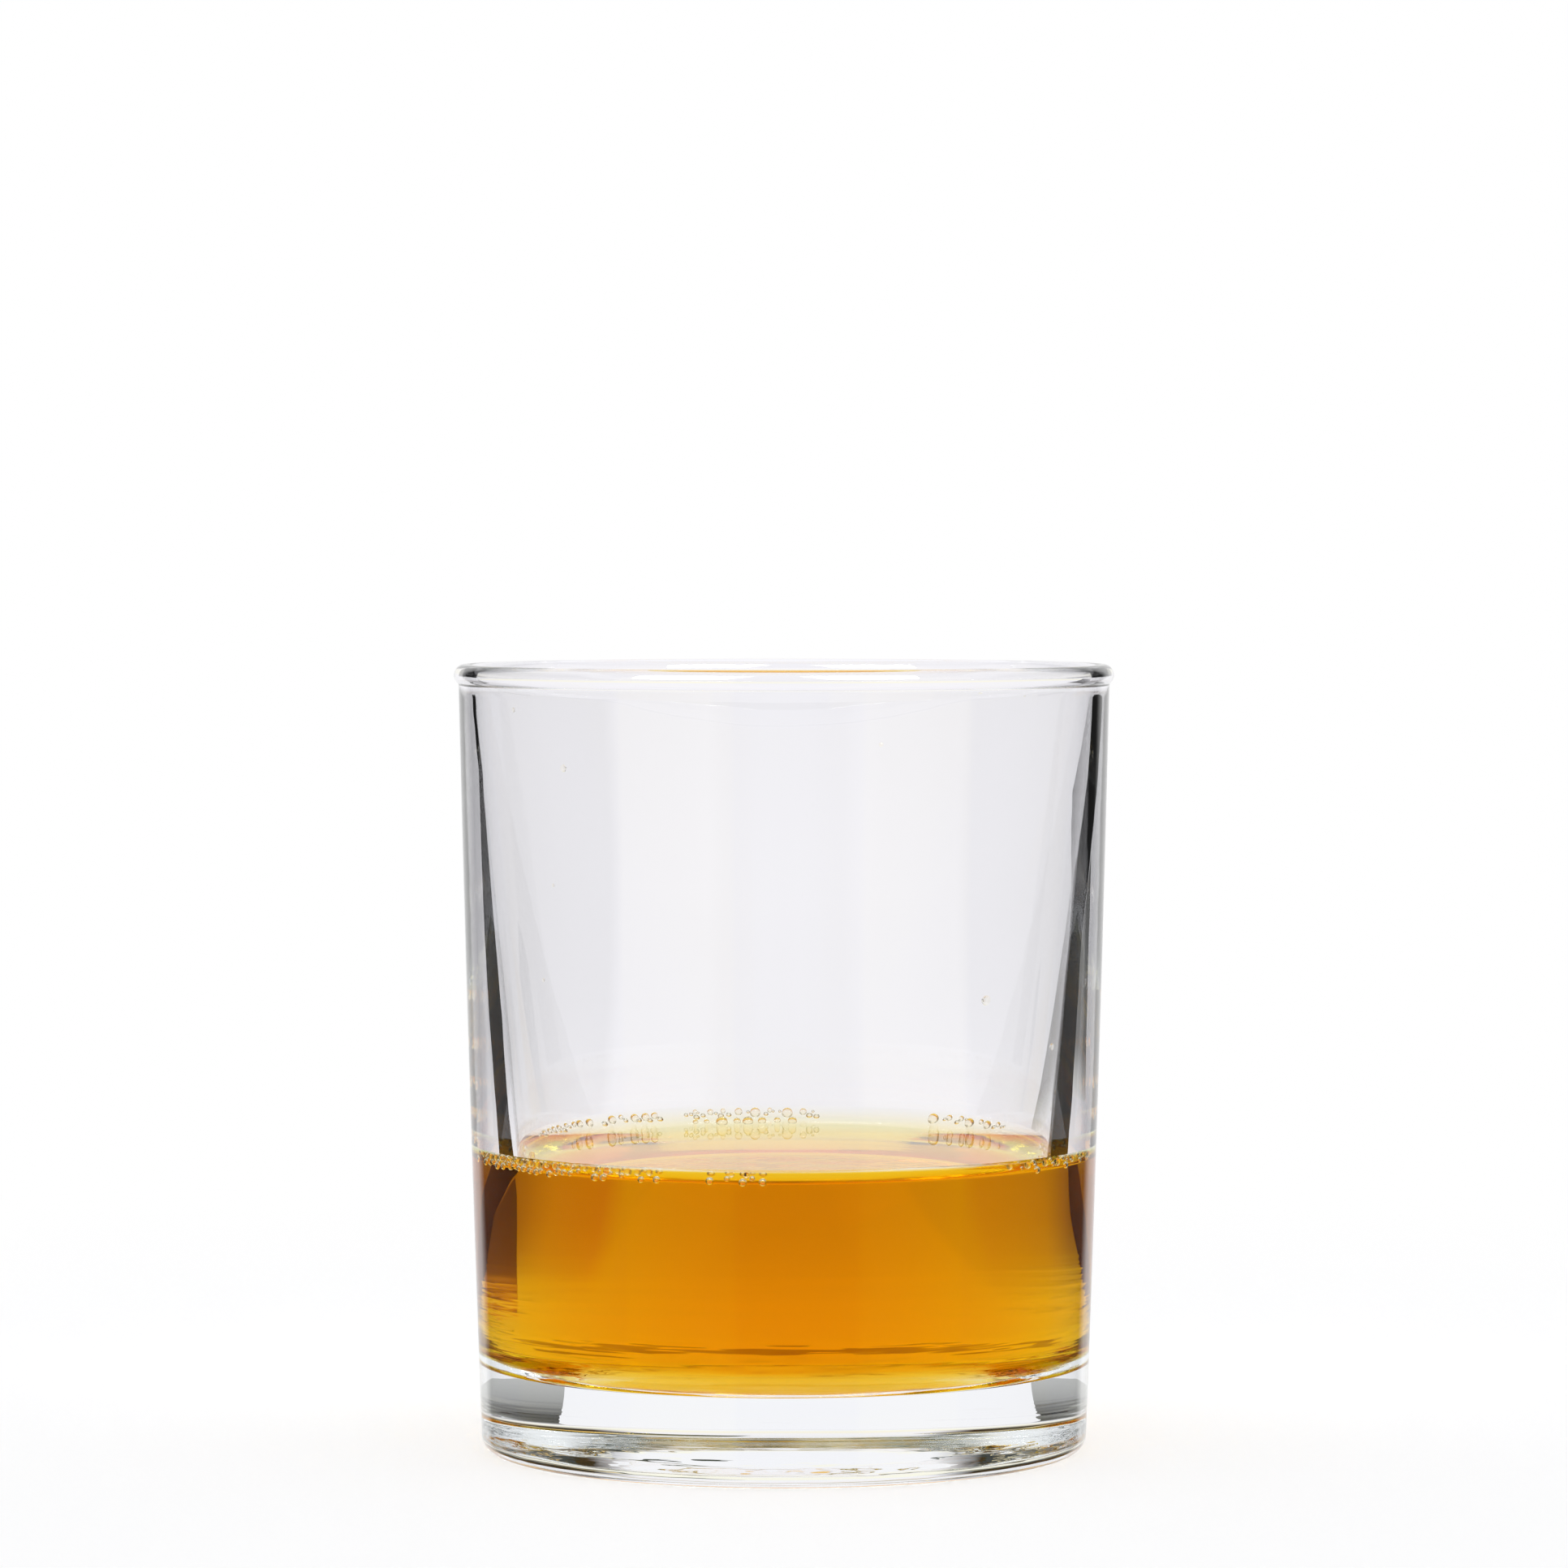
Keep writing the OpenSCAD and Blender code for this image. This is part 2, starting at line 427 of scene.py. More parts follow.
# %% Whisky
AMBER = linear("#face32")
AMBER_DEPTH = 23 * MM
NO_BENDING = 1.0
DRINK_WAVE_LENGTH = 9 * MM
DRINK_WAVE_DEPTH = 0.004 * MM
taken_per_metre = [-math.log(left) / AMBER_DEPTH for left in AMBER[:3]]
most_taken = max(taken_per_metre)
ior_of_face = drink.data.attributes.new("ior", "FLOAT", "FACE")
ior_of_face.data.foreach_set(
    "value", [NO_BENDING if ring < len(wetted) else WHISKY_IOR for ring in drink_rings]
)

whisky, tree = new_material("oak_aged_whisky")
ior = add(tree, "ShaderNodeAttribute", attribute_name="ior")
place = add(tree, "ShaderNodeTexCoord")
waves = add(tree, "ShaderNodeTexNoise", {
    "Vector": place.outputs["Object"], "Scale": 1 / DRINK_WAVE_LENGTH, "Detail": 1.0,
})
ripple = add(tree, "ShaderNodeBump", {
    "Height": waves.outputs[0], "Strength": 1.0, "Distance": DRINK_WAVE_DEPTH,
})
surface = add(tree, "ShaderNodeBsdfPrincipled", {
    "Base Color": CLEAR,
    "Roughness": 0.0,
    "IOR": ior.outputs["Fac"],
    "Transmission Weight": 1.0,
    "Normal": ripple.outputs[0],
})
amber = add(tree, "ShaderNodeVolumeAbsorption", {
    "Color": (*[1 - taken / most_taken for taken in taken_per_metre], 1.0), "Density": most_taken,
})
add(tree, "ShaderNodeOutputMaterial", {"Surface": surface.outputs[0], "Volume": amber.outputs[0]})
drink.data.materials.append(whisky)
print("taken per metre, in red, green and blue:", [round(taken, 2) for taken in taken_per_metre])
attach(drink, "drink")
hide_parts("whisky")

# %% [markdown]
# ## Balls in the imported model
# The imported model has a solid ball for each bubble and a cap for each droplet, in two groups. Their places
# and sizes are read from it: points in one place are merged, and what then hangs together is one solid.

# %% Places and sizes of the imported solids
SAME_PLACE = 0.001 * MM


def solids_of(node_name):
    """Centre and half width of each separate solid in a node."""
    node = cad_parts[node_name]
    mesh = bmesh.new()
    mesh.from_mesh(node.data)
    bmesh.ops.remove_doubles(mesh, verts=mesh.verts, dist=SAME_PLACE)
    todo, found = set(mesh.verts), []
    while todo:
        stack, island = [todo.pop()], []
        while stack:
            vert = stack.pop()
            island.append(node.matrix_world @ vert.co)
            near = {edge.other_vert(vert) for edge in vert.link_edges} & todo
            todo -= near
            stack.extend(near)
        low = [min(point[k] for point in island) for k in range(3)]
        high = [max(point[k] for point in island) for k in range(3)]
        centre = tuple((a + b) / 2 for a, b in zip(low, high))
        found.append((centre, max(b - a for a, b in zip(low, high)) / 2))
    mesh.free()
    return sorted(found)


packed_bubbles = solids_of("bubbles")
packed_droplets = solids_of("droplets")
print(len(packed_bubbles), "bubbles and", len(packed_droplets), "droplets")

# %% [markdown]
# ## Bubbles at the edge
# Pouring leaves bubbles, and the meniscus draws them to the wall. They are never of one size: round each
# larger one sit smaller ones, just under the surface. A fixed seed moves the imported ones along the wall
# and adds the small fry, and one that would touch another is left out.

# %% Where the bubbles are
CHANCE_SEED = 11
SHRINK = (0.8, 0.99)
SHIFT = 0.35 * MM
SMALL_TRIES = 420
SMALL_R = (0.2 * MM, 0.5 * MM)
STRAY = 1.6 * MM
WALL_ROOM = 1.1
WALL_FILM = 0.05 * MM
SUNK = 0.9
SINK_STRAY = 0.12 * MM
LEAST_GAP = 0.02 * MM
chance = random.Random(CHANCE_SEED)


def on_edge(turn, from_wall):
    """A point on the drink's surface, at an angle and a distance from the wall."""
    radius = contact_r - from_wall
    return radius * math.cos(turn), radius * math.sin(turn), meniscus_z(from_wall)


def clear_of(place, radius, others):
    return all(math.dist(place, other) > radius + other_r + LEAST_GAP for other, other_r in others)


bubbles = []
for (x, y, _), packed_r in packed_bubbles:
    radius = packed_r * chance.uniform(*SHRINK)
    turn = math.atan2(y, x) + chance.uniform(-SHIFT, SHIFT) / contact_r
    place = on_edge(turn, contact_r - math.hypot(x, y))
    if clear_of(place, radius, bubbles):
        bubbles.append((place, radius))
floating = len(bubbles)
for _ in range(SMALL_TRIES):
    (x, y, _), _ = chance.choice(packed_bubbles)
    radius = chance.uniform(*SMALL_R)
    turn = math.atan2(y, x) + chance.gauss(0, STRAY) / contact_r
    from_wall = WALL_ROOM * radius + WALL_FILM
    x, y, _ = on_edge(turn, from_wall)
    z = meniscus_z(from_wall + radius) - SUNK * radius - abs(chance.gauss(0, SINK_STRAY))
    if clear_of((x, y, z), radius, bubbles):
        bubbles.append(((x, y, z), radius))
print(floating, "bubbles float and", len(bubbles) - floating, "are under the surface")

# %% [markdown]
# ## The bubbles' shapes
# Every bubble is a ball of rings, written into one mesh, since hundreds of objects would only slow Blender
# down. Bubbles on the surface are beads of wet film, and bend light as the drink does. Those under it are
# balls of air in the drink, so their index is turned round: light from the drink is thrown back at their
# rims, which is why small bubbles look like silver rings. The index is again kept on each face.

# %% The bubbles' mesh
BALL_TURNS, BALL_ROWS = 24, 12


def ball(place, radius):
    verts = [(place[0], place[1], place[2] - radius)]
    for row in range(1, BALL_ROWS):
        tilt = math.pi * row / BALL_ROWS
        across, height = radius * math.sin(tilt), place[2] - radius * math.cos(tilt)
        for i in range(BALL_TURNS):
            turn = 2 * math.pi * i / BALL_TURNS
            verts.append((place[0] + across * math.cos(turn), place[1] + across * math.sin(turn), height))
    verts.append((place[0], place[1], place[2] + radius))
    faces = []
    last = len(verts) - 1
    for i in range(BALL_TURNS):
        j = (i + 1) % BALL_TURNS
        faces.append((0, 1 + j, 1 + i))
        for row in range(BALL_ROWS - 2):
            low, high = 1 + row * BALL_TURNS, 1 + (row + 1) * BALL_TURNS
            faces.append((low + i, low + j, high + j, high + i))
        top = 1 + (BALL_ROWS - 2) * BALL_TURNS
        faces.append((top + i, top + j, last))
    return verts, faces


verts, faces, indices = [], [], []
for k, (place, radius) in enumerate(bubbles):
    ball_verts, ball_faces = ball(place, radius)
    faces.extend([len(verts) + v for v in face] for face in ball_faces)
    indices.extend([WHISKY_IOR if k < floating else 1 / WHISKY_IOR] * len(ball_faces))
    verts.extend(ball_verts)
surface_bubbles = new_piece("surface_bubbles", verts, faces)
surface_bubbles.data.attributes.new("ior", "FLOAT", "FACE").data.foreach_set("value", indices)

# %% [markdown]
# ## Bubble film
# A film of spirit drains as one watches, thick in some places and thin in others. That puckers the glints
# a little. The film is far too thin to show a colour, so it has no volume, only a breath of warm white.

# %% Bubble film
FILM_WHITE = linear("#fffaf0")
FILM_PATCH = 0.8 * MM
FILM_DEPTH = 0.01 * MM
film, tree = new_material("bubble_film")
ior = add(tree, "ShaderNodeAttribute", attribute_name="ior")
place = add(tree, "ShaderNodeTexCoord")
drain = add(tree, "ShaderNodeTexNoise", {
    "Vector": place.outputs["Object"], "Scale": 1 / FILM_PATCH, "Detail": 1.0,
})
pucker = add(tree, "ShaderNodeBump", {"Height": drain.outputs[0], "Strength": 1.0, "Distance": FILM_DEPTH})
surface = add(tree, "ShaderNodeBsdfPrincipled", {
    "Base Color": FILM_WHITE,
    "Roughness": 0.0,
    "IOR": ior.outputs["Fac"],
    "Transmission Weight": 1.0,
    "Normal": pucker.outputs[0],
})
add(tree, "ShaderNodeOutputMaterial", {"Surface": surface.outputs[0]})
surface_bubbles.data.materials.append(film)
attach(surface_bubbles, "drink")
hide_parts("bubbles")

# %% [markdown]
# ## Droplets on the wall
# Drops that splashed or ran back cling to the inner wall as flat lenses, a little heavier at the lower end.
# Each is laid on the wall: a place is an angle, a height and a lift off the glass. A drop has a domed side
# and a back, both made of rings from the middle out.

# %% The droplets' mesh
DROP_TURNS, DROP_ROWS = 28, 7
DROP_LIFT = 0.02 * MM
DROP_RISE = 0.22
DROP_SHRINK = (0.8, 0.95)
DROP_SAG = (0.1, 0.3)


def on_wall(turn, z, along, up, lift):
    height = z + up * math.cos(WALL_TILT)
    radius = inner_r(height) - lift / math.cos(WALL_TILT)
    turn += along / radius
    return radius * math.cos(turn), radius * math.sin(turn), height


verts, faces = [], []
for (x, y, z), footprint in packed_droplets:
    turn = math.atan2(y, x)
    reach = footprint * chance.uniform(*DROP_SHRINK)
    sag = chance.uniform(*DROP_SAG)
    start = len(verts)
    for top in (True, False):
        for row in range(1, DROP_ROWS + (1 if top else 0)):
            share = row / DROP_ROWS
            for i in range(DROP_TURNS):
                bearing = 2 * math.pi * i / DROP_TURNS
                width = reach * (1 - sag * max(0.0, math.sin(bearing))) * share
                lift = DROP_LIFT + (DROP_RISE * reach * (1 - share**2) if top else 0)
                verts.append(on_wall(turn, z, width * math.cos(bearing), width * math.sin(bearing), lift))
    poles = len(verts)
    verts.append(on_wall(turn, z, 0, 0, DROP_LIFT + DROP_RISE * reach))
    verts.append(on_wall(turn, z, 0, 0, DROP_LIFT))
    tops = [start + row * DROP_TURNS for row in range(DROP_ROWS)]
    backs = [start + (DROP_ROWS + row) * DROP_TURNS for row in range(DROP_ROWS - 1)]
    chain = tops + backs[::-1]
    for i in range(DROP_TURNS):
        j = (i + 1) % DROP_TURNS
        faces.append((poles, chain[0] + j, chain[0] + i))
        for low, high in zip(chain, chain[1:]):
            faces.append((low + i, low + j, high + j, high + i))
        faces.append((chain[-1] + i, chain[-1] + j, poles + 1))
wall_droplets = new_piece("wall_droplets", verts, faces)

# %% [markdown]
# ## Clinging drops
# Spirit leaves the drops faster than water does and pulls their skin about, so they are never quite even
# and their glints waver. They are too thin to look amber.

# %% Clinging drops
DROP_WHITE = linear("#fffdf6")
DROP_PATCH = 1.2 * MM
DROP_DEPTH = 0.02 * MM
drop, tree = new_material("clinging_whisky_drops")
place = add(tree, "ShaderNodeTexCoord")
legs = add(tree, "ShaderNodeTexNoise", {
    "Vector": place.outputs["Object"], "Scale": 1 / DROP_PATCH, "Detail": 1.0,
})
uneven = add(tree, "ShaderNodeBump", {"Height": legs.outputs[0], "Strength": 1.0, "Distance": DROP_DEPTH})
surface = add(tree, "ShaderNodeBsdfPrincipled", {
    "Base Color": DROP_WHITE,
    "Roughness": 0.0,
    "IOR": WHISKY_IOR,
    "Transmission Weight": 1.0,
    "Normal": uneven.outputs[0],
})
add(tree, "ShaderNodeOutputMaterial", {"Surface": surface.outputs[0]})
wall_droplets.data.materials.append(drop)
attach(wall_droplets, "glass")
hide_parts("droplets")

# %% [markdown]
# ## The camera
# The glass was photographed from a little over the rim with a long lens, about 0.8 m away. The distance
# and the height decide how open the ellipses of the rim and the foot are, and the lens only how large.

# %% The camera
CAMERA_DISTANCE = 810.1 * MM
CAMERA_HEIGHT = 109.94 * MM
CAMERA_DOWN_DEG = 2.051
SENSOR_MM = 36
LENS_MM = 153.3
camera_data = bpy.data.cameras.new("camera")
camera_data.sensor_width = SENSOR_MM
camera_data.lens = LENS_MM
camera_data.clip_start = 10 * MM
camera = bpy.data.objects.new("camera", camera_data)
camera.location = (0, -CAMERA_DISTANCE, CAMERA_HEIGHT)
camera.rotation_euler = (math.radians(90 - CAMERA_DOWN_DEG), 0, 0)
bpy.context.scene.collection.objects.link(camera)
bpy.context.scene.camera = camera
print(f"lens of {LENS_MM} mm, {CAMERA_DISTANCE / MM:.0f} mm from the axis of the glass")

# %% [markdown]
# ## The studio: tones and slopes
# Clear glass on white needs edges, so photographers lay black cards behind it on both sides, and its walls
# bend them into thin dark lines. A card's tone changes with its distance from the glass in millimetres.
# Each card also has slopes at which it is seen, from Layer Weight: 0 is from straight above and 1 is
# along the table. The wall, the drink and the base of the glass look at the table at slopes of their own,
# so each has its own cards, and a camera that looks from above sees none.

# %% Tones and slopes of the cards
ALWAYS = [(0, 1.0), (1, 1.0)]
NOT_FROM_ABOVE = [(0.64, 0.0), (0.69, 1.0)]
NOT_LOW = [(0.64, 0.0), (0.69, 1.0), (0.86, 1.0), (0.89, 0.0)]
LOW_ONLY = [(0.855, 0.0), (0.9, 1.0)]
STEEP_ONLY = [(0.6, 0.0), (0.64, 1.0), (0.71, 1.0), (0.76, 0.0)]
SLIT_ONLY = [(0.66, 0.0), (0.69, 1.0), (0.745, 1.0), (0.775, 0.0)]
TONE_R = 400
BLACK = [(0, 0.004), (TONE_R, 0.004)]
SOFT = [(0, 0.36), (TONE_R, 0.36)]
# Painted shade: the right black card's soft shadow on the table, darker further from the glass.
RIGHT_CARD_SHADE = [(200, 0.9), (215, 0.55), (235, 0.22), (TONE_R, 0.12)]
# Painted shadow of the glass on the table by its foot, darkest nearest the glass.
FOOT_SHADOW = [(60, 0.04), (72, 0.16), (84, 0.34), (100, 0.42), (120, 0.5)]
# Painted warm shade: the right card's shadow as the drink sees it, pale near the glass and deep brown far
# off.
RIGHT_CARD_WARM_SHADE = [
    (164, linear("#f3d9aa")), (178, linear("#ddb659")), (195, linear("#bc9500")), (210, linear("#906f00")),
    (236, linear("#735800")), (317, linear("#594400")), (TONE_R, linear("#503c00")),
]
# Painted light: amber light that came through the drink, lying on the table just behind the glass.
DRINK_LIGHT = [(0, linear("#bcaa7c")), (TONE_R, linear("#bcaa7c"))]


def lying(*points, z=0):
    return [(x, y, z) for x, y in points]


def only_through_glass(prop):
    """Hides a piece of the studio from all rays but those that went through the glass."""
    for ray in ("camera", "diffuse", "glossy", "shadow"):
        setattr(prop, f"visible_{ray}", False)


print("tones of the cards reach", TONE_R, "mm from the axis of the glass")

# %% [markdown]
# ## The studio: cards
# Two long black cards reach far back, because the upper wall looks furthest along the table. Beside the
# right one lies its soft shadow, painted as a dim strip for the wall and as painted warm shade in brown for
# the drink. Nearer, and seen at steeper slopes only, lie two soft cards and a small patch of painted amber
# light from the drink, and the painted shadow of the glass by the foot draws the corners of the base. Two
# small cards stand upright behind the rim. Cards that would overlap lie a hair lower than one another.

# %% Cards
CARDS = {
    "flat_left": (BLACK, NOT_FROM_ABOVE, lying(
        (-116, 112), (-127, 131), (-137, 150), (-159, 197), (-183, 248), (-216, 293), (-258, 348),
        (-262, 412), (-350, 548), (-378, 520), (-285, 388), (-280, 325), (-250, 262), (-222, 204),
        (-192, 155), (-160, 117), (-148, 100), (-134, 78),
    )),
    "flat_right": (BLACK, NOT_FROM_ABOVE, lying(
        (118, 110), (130, 128), (138, 148), (165, 192), (192, 242), (195, 320), (180, 410), (175, 480),
        (300, 590), (372, 545), (285, 390), (265, 342), (258, 230), (202, 140), (172, 98), (158, 85),
        (142, 68),
    )),
    # The right card's painted soft shadow, as the wall sees it and, in warm brown, as the drink sees it:
    "painted_shade_right": (RIGHT_CARD_SHADE, NOT_LOW, lying(
        (92, 186), (112, 214), (141, 257), (168, 296), (192, 325), (192, 242), (165, 192), (138, 148),
        (128, 160), z=-0.05,
    )),
    "warm_shade_right": (RIGHT_CARD_WARM_SHADE, LOW_ONLY, lying(
        (66, 150), (92, 186), (112, 214), (141, 257), (168, 296), (192, 325), (192, 242), (165, 192),
        (138, 148), (108, 124), z=-0.07,
    )),
    "side_left": (SOFT, STEEP_ONLY, lying(
        (-45, 95), (-62, 165), (-100, 160), (-122, 125), (-115, 88), z=-0.02,
    )),
    "side_right": (SOFT, STEEP_ONLY, lying(
        (45, 95), (115, 88), (122, 125), (100, 160), (62, 165), z=-0.02,
    )),
    # A patch of painted amber light behind the glass:
    "drink_light": (DRINK_LIGHT, SLIT_ONLY, lying((-9, 58), (9, 58), (9, 76), (-9, 76), z=-0.04)),
    # Painted shadow of the glass by its foot:
    "foot_shadow_left": (FOOT_SHADOW, LOW_ONLY, lying((-8, 50), (-58, 110), (-92, 80), (-105, 0), (-45, 0), (-36, 28))),
    "foot_shadow_right": (FOOT_SHADOW, LOW_ONLY, lying((3, 50), (46, 117), (92, 80), (105, 0), (45, 0), (36, 28))),
    "tall_left": (BLACK, ALWAYS, [(-78, 137, 93), (-78, 137, 135), (-128, 98, 135), (-128, 98, 93)]),
    "tall_right": (BLACK, ALWAYS, [(64, 145, 93), (64, 145, 135), (128, 98, 135), (128, 98, 93)]),
}
for card_name, (tones, slopes, corners) in CARDS.items():
    card_stock, tree = new_material(f"card_{card_name}")
    spot = add(tree, "ShaderNodeNewGeometry")
    distance = add(tree, "ShaderNodeVectorMath", {0: spot.outputs["Position"]}, operation="LENGTH")
    far = add(tree, "ShaderNodeMath", {0: distance.outputs["Value"], 1: TONE_R * MM}, operation="DIVIDE")
    tone = add(tree, "ShaderNodeValToRGB", {"Fac": far.outputs[0]},
               stops=[(mm / TONE_R, shade) for mm, shade in tones])
    slope = add(tree, "ShaderNodeLayerWeight", {"Blend": 0.5})
    share = add(tree, "ShaderNodeValToRGB", {"Fac": slope.outputs["Facing"]}, stops=slopes)
    flat = add(tree, "ShaderNodeEmission", {"Color": tone.outputs[0], "Strength": 1.0})
    absent = add(tree, "ShaderNodeBsdfTransparent")
    seen = add(tree, "ShaderNodeMixShader", {0: share.outputs[0], 1: absent.outputs[0], 2: flat.outputs[0]})
    add(tree, "ShaderNodeOutputMaterial", {"Surface": seen.outputs[0]})
    places = [(x * MM, y * MM, z * MM) for x, y, z in corners]
    card = new_piece(f"card_{card_name}", places, [range(len(places))])
    card.data.materials.append(card_stock)
    only_through_glass(card)
    card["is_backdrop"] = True

# %% [markdown]
# ## The studio: a board by the foot
# Under the drink the thick base shows what stands low behind the glass: here a dark board on small feet,
# in two arcs with a gap in the middle, amber on the inside where light came through the drink. Noise moves
# the edges of its tones about, and the back of the heel squeezes them into streaks. It is drawn only from
# below, so that nothing of it shows from above.

# %% The board
BOARD_Z = 10
BOARD_IN, BOARD_OUT = 58, 74
BOARD_ARCS = ((1, 84), (276, 355))
BOARD_STEPS = 32
BOARD_PATCH = 9 * MM
BOARD_WANDER = 8 * MM
BOARD_TONES = [
    (52, linear("#e8c878")), (58, linear("#f0b93a")), (62, linear("#f4e6bc")), (65, linear("#7c8078")),
    (67, linear("#28302f")), (80, linear("#39433f")),
]
board_paint, tree = new_material("board_with_amber_light")
spot = add(tree, "ShaderNodeNewGeometry")
patches = add(tree, "ShaderNodeTexNoise", {
    "Vector": spot.outputs["Position"], "Scale": 1 / BOARD_PATCH, "Detail": 2.0,
})
wander = add(tree, "ShaderNodeMapRange", {
    "Value": patches.outputs[0], "To Min": -BOARD_WANDER, "To Max": BOARD_WANDER,
})
distance = add(tree, "ShaderNodeVectorMath", {0: spot.outputs["Position"]}, operation="LENGTH")
shifted = add(tree, "ShaderNodeMath", {0: distance.outputs["Value"], 1: wander.outputs[0]}, operation="ADD")
far = add(tree, "ShaderNodeMath", {0: shifted.outputs[0], 1: TONE_R * MM}, operation="DIVIDE")
tone = add(tree, "ShaderNodeValToRGB", {"Fac": far.outputs[0]},
           stops=[(mm / TONE_R, shade) for mm, shade in BOARD_TONES])
flat = add(tree, "ShaderNodeEmission", {"Color": tone.outputs[0], "Strength": 1.0})
absent = add(tree, "ShaderNodeBsdfTransparent")
below = add(tree, "ShaderNodeMixShader", {
    0: spot.outputs["Backfacing"], 1: absent.outputs[0], 2: flat.outputs[0],
})
add(tree, "ShaderNodeOutputMaterial", {"Surface": below.outputs[0]})
verts, faces = [], []
for from_deg, to_deg in BOARD_ARCS:
    start = len(verts)
    for i in range(BOARD_STEPS + 1):
        turn = math.radians(from_deg + (to_deg - from_deg) * i / BOARD_STEPS)
        for reach in (BOARD_IN, BOARD_OUT):
            verts.append((reach * MM * math.sin(turn), reach * MM * math.cos(turn), BOARD_Z * MM))
    for k in range(start, start + 2 * BOARD_STEPS, 2):
        faces.append((k, k + 2, k + 3, k + 1))
board = new_piece("board", verts, faces)
board.data.materials.append(board_paint)
only_through_glass(board)
board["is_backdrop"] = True
print("board faces up:", board.data.polygons[0].normal.z > 0)

# %% [markdown]
# ## The table
# A round white table top, a hair under the foot. Its paper needs to know four things of each spot: how far
# it is from the glass, at which bearing from straight behind, how far to the side, and at which slope it
# is seen.

# %% The table
TABLE_R = 1000
TABLE_DROP = 0.1 * MM
TABLE_SIDES = 128
bpy.ops.mesh.primitive_circle_add(
    vertices=TABLE_SIDES, radius=TABLE_R * MM, fill_type="NGON", location=(0, 0, -TABLE_DROP)
)
floor = bpy.context.object
floor.name = "floor"
floor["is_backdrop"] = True
paper, tree = new_material("white_paper")
spot = add(tree, "ShaderNodeNewGeometry")
split = add(tree, "ShaderNodeSeparateXYZ", {0: spot.outputs["Position"]})
distance = add(tree, "ShaderNodeVectorMath", {0: spot.outputs["Position"]}, operation="LENGTH")
far = add(tree, "ShaderNodeMath", {0: distance.outputs["Value"], 1: TABLE_R * MM}, operation="DIVIDE")
side = add(tree, "ShaderNodeMath", {0: split.outputs["X"], 1: distance.outputs["Value"]}, operation="DIVIDE")
bearing = add(tree, "ShaderNodeMath", {0: side.outputs[0]}, operation="ARCSINE")
turn = add(tree, "ShaderNodeMapRange", {
    "Value": bearing.outputs[0], "From Min": -math.pi / 2, "From Max": math.pi / 2,
})
slope = add(tree, "ShaderNodeLayerWeight", {"Blend": 0.5})
print(f"table {2 * TABLE_R} mm across")

# %% [markdown]
# ## The table through the glass
# A real table isn't evenly lit. Away from the glass this one greys towards both sides and at low slopes.
# Straight bands of light, which fan out a little towards the back, give the wall its soft upright panels.
# At the lowest slopes, which the drink sees most, painted warm shade lies on the table at the sides, so
# that the drink goes from orange in the middle to deeper amber at the edges.

# %% The table through the glass
COOL_WHITE = linear("#fbfaff")
BY_SLOPE = [(0.8, 1.0), (0.844, 0.99), (0.87, 0.98), (0.887, 0.94), (0.904, 0.86), (0.922, 0.81)]
FLANK_BY_DISTANCE = [(0, 0.0), (165, 0.0), (230, 0.8), (300, 1.0)]
SLOPE_BY_DISTANCE = [(0, 0.0), (150, 0.0), (250, 1.0), (380, 1.0), (560, 0.15), (1000, 0.15)]
FLANKS = [
    (-90, 0.4), (-72, 0.4), (-60, 0.5), (-52, 0.7), (-42, 0.72), (-36, 0.79), (-27, 0.91), (-14, 1.0),
    (13, 1.0), (25, 0.92), (32, 0.82), (36, 0.68), (52, 0.55), (60, 0.4), (72, 0.4), (90, 0.4),
]
GLOW_LOW = [(0.855, 0.0), (0.885, 1.0)]
# Painted warm shade: plain white behind the glass, darker and more amber towards the sides.
GLOW = [
    (-90, linear("#a08040")), (-36, linear("#bca058")), (-31, linear("#dfc590")), (-27, linear("#f1d7a4")),
    (-16, linear("#f9edd0")), (-14, linear("#ffffff")), (12, linear("#ffffff")), (14, linear("#f4d8a0")),
    (21, linear("#f4d8a0")), (27, linear("#d6b478")), (35, linear("#bc9558")), (90, linear("#a08040")),
]
STRIP = [
    (-100, 0.92), (-60, 0.92), (-54, 1.0), (-24, 1.0), (-18, 0.97),
    (18, 0.97), (24, 1.0), (59, 1.0), (65, 0.955), (100, 0.955),
]
STRIP_R = 100
STRIP_SOURCE = 2000
STRIP_DEPTH = 2400
flanks = add(tree, "ShaderNodeValToRGB", {"Fac": turn.outputs[0]},
             stops=[((degrees + 90) / 180, grey) for degrees, grey in FLANKS])
flank_share = add(tree, "ShaderNodeValToRGB", {"Fac": far.outputs[0]},
                  stops=[(mm / TABLE_R, share) for mm, share in FLANK_BY_DISTANCE])
table = add(tree, "ShaderNodeValToRGB", {"Fac": slope.outputs["Facing"]}, stops=BY_SLOPE)
slope_share = add(tree, "ShaderNodeValToRGB", {"Fac": far.outputs[0]},
                  stops=[(mm / TABLE_R, share) for mm, share in SLOPE_BY_DISTANCE])
sloped = add(tree, "ShaderNodeMix", {
    "Factor": slope_share.outputs[0], 6: flanks.outputs[0], 7: table.outputs[0],
}, data_type="RGBA", blend_type="MULTIPLY")
behind = add(tree, "ShaderNodeMath", {0: split.outputs["Y"]}, operation="ABSOLUTE")
depth = add(tree, "ShaderNodeMath", {0: behind.outputs[0], 1: STRIP_SOURCE * MM}, operation="ADD")
spread = add(tree, "ShaderNodeMath", {0: split.outputs["X"], 1: depth.outputs[0]}, operation="DIVIDE")
across = add(tree, "ShaderNodeMapRange", {
    "Value": spread.outputs[0], "From Min": -STRIP_R / STRIP_DEPTH, "From Max": STRIP_R / STRIP_DEPTH,
})
strip = add(tree, "ShaderNodeValToRGB", {"Fac": across.outputs[0]},
            stops=[((mm + STRIP_R) / (2 * STRIP_R), grey) for mm, grey in STRIP])
